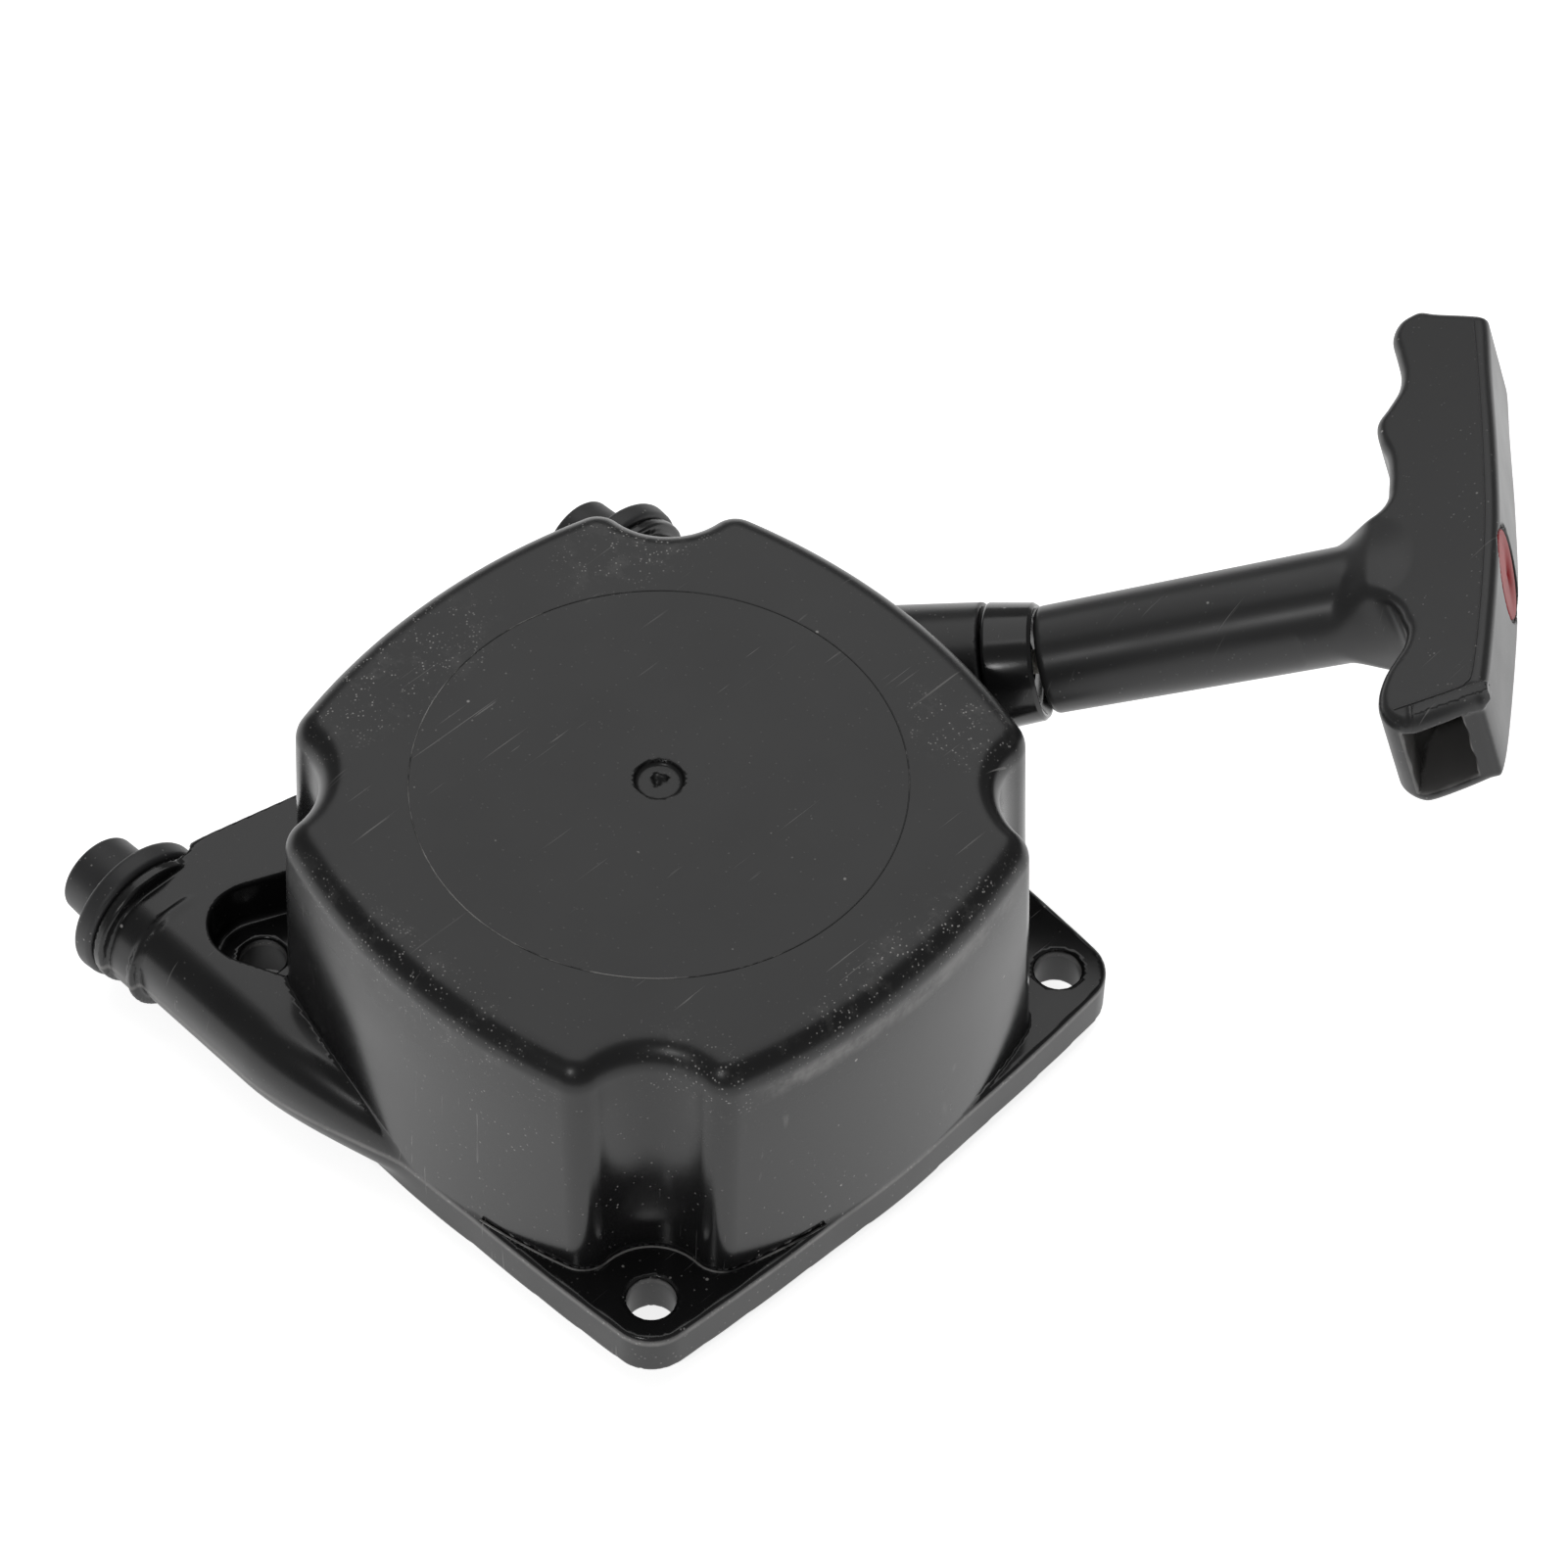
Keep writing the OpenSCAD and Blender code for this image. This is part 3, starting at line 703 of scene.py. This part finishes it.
def black_plastic(name, base=BLACK, rough=0.25, dust=1.0, scratch=1.0, wear_and_light=None,
                  worn_zones=None):
    """Black plastic with dust and scratches; a given mask adds pale marks of wear and of painted
    light; worn_zones adds roughness.
    """
    n = Nodes(name)
    cloud = n.noise(45, 5, 0.6)
    fine = n.noise(900, 3, 0.6)
    # scattered dust, denser in patches
    patch = n.band(n.noise(28, 3, 0.6), 0.50, 0.74)
    specks = n.maths("MULTIPLY", n.dots(1100, 0.20),
                     n.maths("ADD", n.maths("MULTIPLY", patch, 0.8), 0.10))
    gate = n.band(n.noise(700, 1, 0.5), 0.54, 0.60)
    specks = n.maths("MULTIPLY", specks, gate)
    sparse = n.maths("MULTIPLY", n.dots(190, 0.055), n.band(n.noise(160, 1, 0.5), 0.52, 0.56))
    specks = n.maths("MAXIMUM", specks, sparse)
    # hair scratches in three directions
    lines = None
    for turn, seed in (((0.3, 0.1, 0.5), 1.0), ((0.1, 0.2, 2.1), 1.7), ((0.4, 0.3, 1.3), 2.3)):
        vec = n.stretch((1500, 26 * seed, 90), turn)
        one = n.band(n.noise(1.0, 2, 0.5, vec, 0.4), 0.715, 0.745)
        lines = one if lines is None else n.maths("MAXIMUM", lines, one)
    lines = n.maths("MULTIPLY", lines, n.band(n.noise(60, 2, 0.5), 0.5, 0.6))
    marks = n.maths("MULTIPLY", lines, 0.55 * scratch)
    marks = n.maths("MAXIMUM", marks, n.maths("MULTIPLY", specks, 0.8 * dust), clamp=True)
    # the given mask adds pale marks, both real wear and painted light
    if wear_and_light is not None:
        marks = n.maths("MAXIMUM", marks, wear_and_light(n), clamp=True)
    tone = n.mix(cloud, times(base, 0.85), times(base, 1.2))
    # one pale colour for dust, scratches, wear and painted light
    color = n.mix(marks, tone, PALE_DUST_AND_PAINTED_LIGHT)
    roughness = n.maths("ADD", n.band(cloud, 0.3, 0.7, rough - 0.04, rough + 0.05),
                        n.maths("MULTIPLY", marks, 0.3), clamp=True)
    if worn_zones is not None:
        roughness = n.maths("ADD", roughness, worn_zones(n), clamp=True)
    grain = n.bump(fine, 0.00001, 0.35)
    normal = n.bump(marks, 0.00003, 0.5, grain)
    return n.set(color=color, rough=roughness, normal=normal, ior=1.47)


def rubber(name):
    n = Nodes(name)
    grain = n.noise(1400, 4, 0.7)
    cloud = n.noise(70, 4, 0.6)
    specks = n.maths("MULTIPLY", n.dots(1100, 0.2), n.band(n.noise(240, 2, 0.5), 0.5, 0.62))
    color = n.mix(n.maths("MULTIPLY", specks, 0.7),
                  n.mix(cloud, (0.017, 0.017, 0.018, 1), (0.03, 0.03, 0.031, 1)),
                  (0.33, 0.32, 0.31, 1))
    return n.set(color=color, rough=n.band(cloud, 0.3, 0.7, 0.42, 0.58),
                 normal=n.bump(grain, 0.00003, 0.5), ior=1.5)


def metal(name, color, rough, scale=900):
    n = Nodes(name)
    cloud = n.noise(120, 4, 0.6)
    brush = n.noise(1.0, 3, 0.6, n.stretch((scale, scale * 0.05, scale)))
    tone = n.mix(cloud, times(color, 0.8), times(color, 1))
    return n.set(color=tone, rough=n.band(brush, 0.3, 0.7, rough - 0.07, rough + 0.1), metal=1.0,
                 normal=n.bump(brush, 0.00001, 0.4))


def cord_cloth(name):
    n = Nodes(name)
    weave = n.add("ShaderNodeTexWave", wave_type="BANDS", bands_direction="DIAGONAL")
    n.link(n.coord, weave.inputs["Vector"])
    weave.inputs["Scale"].default_value = 420
    weave.inputs["Distortion"].default_value = 1.2
    fuzz = n.noise(2600, 3, 0.7)
    height = n.maths("ADD", weave.outputs["Fac"], n.maths("MULTIPLY", fuzz, 0.5))
    color = n.mix(weave.outputs["Fac"], (0.42, 0.40, 0.36, 1), (0.66, 0.64, 0.58, 1))
    return n.set(color=color, rough=0.85, normal=n.bump(height, 0.00025, 0.8), sheen=0.3)


def red_disc(name):
    n = Nodes(name)
    cloud = n.noise(300, 4, 0.6)
    worn = n.band(n.noise(650, 4, 0.65), 0.60, 0.66)
    color = n.mix(cloud, (0.30, 0.010, 0.014, 1), (0.42, 0.018, 0.022, 1))
    color = n.mix(n.maths("MULTIPLY", worn, 0.6), color, (0.06, 0.01, 0.01, 1))
    return n.set(color=color, rough=0.5, normal=n.bump(cloud, 0.00002, 0.3), specular=0.25)


def housing_zones(n):
    """Extra roughness on the dome's upper part, the bars' outer sides and the flange's rim."""
    _, y, z = n.xyz()
    upper = n.band(z, 0.030, 0.043, 0.0, 0.15)
    outer = n.band(n.maths("ABSOLUTE", y), 0.0492, 0.0500, 0.0, 0.12)
    rim = n.band(z, 0.0075, 0.0066, 0.0, 0.20)
    return n.maths("MAXIMUM", upper, n.maths("MAXIMUM", outer, rim))


def moulding_line(name):
    """Thin raised line, dark where it is clean, pale with dust in patches and with a painted
    highlight that grows towards minus y.
    """
    n = Nodes(name)
    _, y, _ = n.xyz()
    # noise gives patches of dust; the term in y adds a painted highlight rising towards minus y
    dust_and_highlight = n.maths("ADD", n.noise(90, 4, 0.7), n.maths("MULTIPLY", y, -4.0))
    dust_and_highlight = n.band(dust_and_highlight, 0.50, 0.66)
    color = n.mix(dust_and_highlight, times(BLACK, 1), (0.22, 0.215, 0.21, 1))
    grain = n.bump(n.noise(900, 3, 0.6), 0.00001, 0.3)
    return n.set(color=color, rough=0.35, normal=grain, ior=1.47)


def hollow_painted_light(n):
    """Painted light in the bar's hollow: a pale tint, a little rougher, so that its inside looks
    lit.
    """
    x, y, z = n.xyz()
    parts = []
    for axis, low, high in ((0, 0.00585, 0.00600), (2, 0.00430, 0.00445)):
        a = BAR_M[:, axis]
        dot = n.maths("ADD", n.maths("MULTIPLY", x, float(a[0])),
                      n.maths("MULTIPLY", y, float(a[1])))
        dot = n.maths("ADD", dot, n.maths("MULTIPLY", z, float(a[2])))
        dot = n.maths("SUBTRACT", dot, float(a @ BAR_AT) * MM)
        parts.append(n.band(n.maths("ABSOLUTE", dot), low, high, 1.0, 0.0))
    return n.maths("MULTIPLY", n.maths("MULTIPLY", parts[0], parts[1]), 0.30)


# rubbed patches on the dome's top, in metres: centre x, y, half size x, y, amount
RUBBED = [
    (-0.040, -0.014, 0.009, 0.020, 1.0), (0.022, 0.036, 0.009, 0.007, 1.0),
    (-0.034, 0.030, 0.009, 0.016, 1.0), (0.040, -0.030, 0.010, 0.007, 0.8),
    (0.044, 0.004, 0.004, 0.026, 1.0), (-0.002, -0.045, 0.030, 0.004, 0.7),
]


def top_wear_and_highlight(n):
    """Rubbed patches on the dome's top, dust on the flange's rim, and a scuffed pale band high
    on one wall that is painted there as a highlight.
    """
    x, y, z = n.xyz()
    marks = None
    for cx, cy, sx, sy, amount in RUBBED:
        dx = n.maths("DIVIDE", n.maths("SUBTRACT", x, cx), sx)
        dy = n.maths("DIVIDE", n.maths("SUBTRACT", y, cy), sy)
        d = n.maths("ADD", n.maths("MULTIPLY", dx, dx), n.maths("MULTIPLY", dy, dy))
        one = n.band(d, 1.2, 0.1, 0.0, amount)
        marks = one if marks is None else n.maths("MAXIMUM", marks, one)
    crumbs = n.maths("MULTIPLY", n.dots(1700, 0.26), n.band(n.noise(520, 3, 0.6), 0.46, 0.56))
    haze = n.maths("MULTIPLY", n.band(n.noise(260, 4, 0.7), 0.52, 0.75), 0.13)
    crumbs = n.maths("MAXIMUM", crumbs, haze)
    on_top = n.band(z, 0.039, 0.043)
    rubbed = n.maths("MULTIPLY", n.maths("MULTIPLY", marks, crumbs), on_top)
    grit = n.band(n.noise(420, 2, 0.6), 0.45, 0.6, 0.0, 0.5)
    rim_dust = n.maths("ADD", n.band(n.noise(220, 4, 0.7), 0.35, 0.7, 0.20, 0.42),
                       n.maths("MULTIPLY", n.dots(1500, 0.3), grit))
    on_rim = n.maths("MULTIPLY", n.band(z, 0.0072, 0.0066), n.band(z, 0.0058, 0.0063))
    rim_dust = n.maths("MULTIPLY", rim_dust, on_rim)
    # painted highlight: a noisy pale band high on the wall facing plus x, scuffing and a painted
    # reflection in one
    scuff_and_highlight = n.maths("MULTIPLY", n.band(z, 0.0408, 0.0424), n.band(z, 0.0452, 0.0440))
    scuff_and_highlight = n.maths("MULTIPLY", scuff_and_highlight, n.band(x, 0.0440, 0.0452))
    scuff_and_highlight = n.maths("MULTIPLY", scuff_and_highlight, n.band(n.noise(75, 5, 0.75), 0.44, 0.62, 0.0, 0.30))
    return n.maths("MAXIMUM", n.maths("MAXIMUM", rubbed, rim_dust), scuff_and_highlight)


# ---------------------------------------------------------------- pieces

HOUSING_STEP = 0.55
HANDLE_STEP = 0.4

M_HOUSING = black_plastic("housing_plastic", rough=0.17, scratch=0.6, wear_and_light=top_wear_and_highlight,
                          worn_zones=housing_zones)
# the handle's hollow gets a pale tint as painted light
M_HANDLE = black_plastic("handle_plastic", base=(0.021, 0.021, 0.0215), rough=0.33, dust=1.0,
                         scratch=0.35, wear_and_light=hollow_painted_light)
M_BUSHING = black_plastic("bushing_plastic", rough=0.18, dust=0.5)
M_REEL = black_plastic("reel_plastic", base=(0.03, 0.03, 0.031), rough=0.42, dust=0.6)
M_RUBBER = rubber("cushion_rubber")
M_SPRING = metal("spring_steel", (0.20, 0.21, 0.24), 0.30)
M_STEEL = metal("plated_steel", (0.62, 0.62, 0.60), 0.28)
M_BRASS = metal("brass", (0.72, 0.52, 0.22), 0.30)
M_ROPE = cord_cloth("rope_weave")
M_RED = red_disc("red_disc")
M_LINE = moulding_line("moulding_line")


def finish_piece(obj, material, body, node):
    """Gives a piece its material, the body it rides on and the CAD node it stands for."""
    obj.data.materials.clear()
    obj.data.materials.append(material)
    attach(obj, body)
    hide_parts(node)
    return obj


def line_on(name, points, radius, material, body):
    """Thin moulding line lying half sunk in a face."""
    obj = tube(name, points, radius, 8)
    obj.data.materials.append(material)
    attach(obj, body)
    return obj


housing = field_object("housing_shell", housing_field, (-70, -60, -3.5), (52, 66, 52),
                       HOUSING_STEP)
finish_piece(housing, M_HOUSING, "housing", "housing")

handle = field_object("handle_moulding", handle_field, (4, 54, 24), (84, 148, 72), HANDLE_STEP)
finish_piece(handle, M_HANDLE, "handle", "handle_grip")

bushing = lathe("outlet_bushing", rounded(
    [(-20.3, 2.6), (-20.3, 4.95), (-7.1, 4.95), (-7.0, 8.9), (-6.5, 9.2), (-0.35, 8.5),
     (0.15, 8.1), (0.15, 7.7), (-1.3, 6.6), (-1.6, 2.6)],
    [0.2, 0.2, 0.1, 0.4, 0.5, 0.2, 0.15, 0.15, 0.8, 0.5]), OUTLET, OUTLET_DIR)
finish_piece(bushing, M_BUSHING, "housing", "rope_bushing")

for side, word in ((-1, "left"), (1, "right")):
    cushion = lathe("pin_cushion_" + word, rounded(
        [(-COLLAR_IN, 3.6), (-COLLAR_IN, 10.7), (-COLLAR_OUT, 11), (-COLLAR_OUT, 6.5),
         (-PIN_END, 6.2), (-PIN_END, 3.6)], [0.1, 0.9, 0.9, 0.5, 0.8, 0.4]),
        (0, side * PIN_Y, BRACKET_R), (-1, 0, 0))
    finish_piece(cushion, M_RUBBER, "housing", "cushion_" + word)

# from the reel's rim through the bushing and the stem to the knot
rope_path = [np.array([-17.6, 30.4, 26.6])]
rope_path += [OUTLET + s * OUTLET_DIR for s in (-31.5, -25, -16, -8, -2)]
rope_path += [OUTLET + s * STEM_DIR for s in (8, 24, 40, 54.6)]
rope = tube("pull_rope", through(rope_path), ROPE_R)
rope.data.materials.append(M_ROPE)
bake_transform(rope)
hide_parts("rope_run")

badge = lathe("plain_disc", rounded(
    [(BADGE_FLOOR, 0.01), (8.85, 0.01), (9.0, 6.3), (BADGE_FLOOR, 6.5)], [0, 0, 0.2, 0.1]),
    BAR_AT + BAR_M[:, 1] * BADGE_U, BAR_M[:, 2])
finish_piece(badge, M_RED, "handle", "handle_badge")


def ring_points(radius, z, count=240):
    """Closed circle; the last point repeats the first."""
    turns = [2 * math.pi * k / count for k in range(count + 1)]
    return [(radius * math.cos(t), radius * math.sin(t), z) for t in turns]


def foot_points(start=-73, sweep=56, count=96, outside=0.30):
    """Points just outside the dome's foot round the front notch, angles in degrees."""
    points = []
    for k in range(count + 1):
        turn = math.radians(start + sweep * k / count)
        near, far = 40.0, 64.0
        # halve the span between a radius inside the foot and one outside it
        for _ in range(24):
            mid = (near + far) / 2
            x, y = np.array(mid * math.cos(turn)), np.array(mid * math.sin(turn))
            if dome_plan(x, y, DOME_FOOT, NOTCH_R) < 0:
                near = mid
            else:
                far = mid
        reach = near + outside
        points.append((reach * math.cos(turn), reach * math.sin(turn), FLANGE_T + 0.20))
    return points


def seam_points():
    """Seam along the bar's near face, from its far end down to the hollow's mouth."""
    knots = [(47.2, 5.2), (34, 6.1), (18, 6.9), (3.4, 7.3), (-12, 6.9), (-25.6, 6.0),
             (-28.4, 5.0), (-29.4, 3.0), (-31.6, -4.6)]
    return [BAR_AT + BAR_M[:, 1] * u + BAR_M[:, 2] * v - BAR_M[:, 0] * BAR_HALF
            for u, v in through([np.array(knot, float) for knot in knots])]


line_on("witness_ring", ring_points(WITNESS_R, TOP - 0.02), 0.11, M_LINE, "housing")
line_on("foot_line", foot_points(), 0.17, M_LINE, "housing")
line_on("grip_seam", seam_points(), 0.14, M_HANDLE, "handle")

# the rest shows as it is in the CAD, with a material of its own
LOOKS = {
    "post_insert": M_BRASS, "recoil_spring": M_SPRING, "spring_anchor": M_STEEL,
    "friction_spring": M_SPRING, "retaining_washer": M_STEEL, "centre_screw": M_STEEL,
    "rope_reel": M_REEL, "rope_coil": M_ROPE, "reel_knot": M_ROPE, "pawl_pins": M_STEEL,
    "pawl_spring_a": M_SPRING, "pawl_spring_b": M_SPRING, "guide_plate": M_STEEL,
    "pawl_a": M_STEEL, "pawl_b": M_STEEL, "handle_knot": M_ROPE, "knot_washer": M_STEEL,
}
for node, look in LOOKS.items():
    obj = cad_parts[node]
    obj.data.materials.clear()
    obj.data.materials.append(look)

# ---------------------------------------------------------------- stage, light and camera

FLOOR_Z = -0.004
# the dim patch is a painted shadow on the paper, under the bracket's side of the housing
GLOW, GLOW_IN_PAINTED_SHADOW = 0.80, 0.05  # the paper's emission, and in the dim patch
PAINTED_SHADOW_X = -0.029
PAINTED_SHADOW_HALF = (0.0170, 0.0215)  # the patch ends between these, either side of PAINTED_SHADOW_X


def white_paper():
    """Paper that glows, with a painted shadow: the glow is dimmer under the bracket's side so
    that the holes there look dark.
    """
    paper = Nodes("white_paper")
    paper.set(color=(0.9, 0.9, 0.9, 1), rough=0.7)
    paper.bsdf.inputs["Emission Color"].default_value = (1, 1, 1, 1)
    x, y, _ = paper.xyz()
    # painted shadow: the glow falls off inside a patch under the bracket's side
    away = paper.maths("MAXIMUM",
                       paper.maths("ABSOLUTE", paper.maths("SUBTRACT", x, PAINTED_SHADOW_X)),
                       paper.maths("MULTIPLY", paper.maths("ABSOLUTE", y), 0.45))
    glow = paper.band(away, *PAINTED_SHADOW_HALF, GLOW_IN_PAINTED_SHADOW, GLOW)
    paper.link(glow, paper.bsdf.inputs["Emission Strength"])
    # the paper is clear from below, so that views from under it show the object
    clear = paper.add("ShaderNodeMixShader")
    paper.link(paper.add("ShaderNodeNewGeometry").outputs["Backfacing"], clear.inputs[0])
    paper.link(paper.bsdf.outputs[0], clear.inputs[1])
    paper.link(paper.add("ShaderNodeBsdfTransparent").outputs[0], clear.inputs[2])
    paper.link(clear.outputs[0], paper.out.inputs[0])
    return paper.mat


bpy.ops.mesh.primitive_plane_add(size=6, location=(0, 0, FLOOR_Z))
floor = bpy.context.object
floor.name = "floor"
floor.data.materials.append(white_paper())

world = bpy.data.worlds.new("studio")
bpy.context.scene.world = world
world.use_nodes = True
sky = world.node_tree.nodes["Background"]
sky.inputs["Color"].default_value = (1, 1, 1, 1)
sky.inputs["Strength"].default_value = 0.2


def seen_from(az, el):
    """Unit vector towards a viewer at azimuth az from minus y and elevation el, in degrees."""
    a, e = math.radians(az), math.radians(el)
    return Vector((math.sin(a) * math.cos(e), -math.cos(a) * math.cos(e), math.sin(e)))


def softbox(name, az, el, distance, size, power):
    """Area light that looks at the object from azimuth az, elevation el; sizes in metres."""
    back = seen_from(az, el)
    data = bpy.data.lights.new(name, "AREA")
    data.shape = "RECTANGLE"
    data.size, data.size_y = size
    data.energy = power
    lamp = bpy.data.objects.new(name, data)
    bpy.context.scene.collection.objects.link(lamp)
    lamp.location = back * distance
    lamp.rotation_mode = "QUATERNION"
    lamp.rotation_quaternion = back.to_track_quat("Z", "Y")


softbox("back_box", 224, 58, 1.3, (1.3, 1.25), 5.8)
softbox("overhead_strip", 224, 86.5, 1.25, (1.2, 0.12), 0.85)
softbox("side_lamp", 21, 46, 1.2, (0.12, 0.12), 1.5)

CAM_AZ, CAM_EL, CAM_ROLL = 44.314, 50.732, 1.329
CAM_RIGHT, CAM_UP, CAM_FAR = 17.67, 30.24, 700.0  # mm
CAM_LENS = 112.0


def photo_camera():
    """Camera at the photograph's angle."""
    a, r = math.radians(CAM_AZ), math.radians(CAM_ROLL)
    back = seen_from(CAM_AZ, CAM_EL)
    flat = Vector((math.cos(a), math.sin(a), 0))
    tall = back.cross(flat)
    right = math.cos(r) * flat + math.sin(r) * tall
    up = -math.sin(r) * flat + math.cos(r) * tall
    data = bpy.data.cameras.new("camera")
    data.lens, data.sensor_width = CAM_LENS, 36
    data.clip_start, data.clip_end = 0.05, 20
    obj = bpy.data.objects.new("camera", data)
    bpy.context.scene.collection.objects.link(obj)
    obj.location = (right * CAM_RIGHT + up * CAM_UP + back * CAM_FAR) * MM
    obj.rotation_mode = "QUATERNION"
    obj.rotation_quaternion = Matrix((right, up, back)).transposed().to_quaternion()
    return obj


bpy.context.scene.camera = photo_camera()
bpy.context.scene.view_settings.view_transform = "Standard"
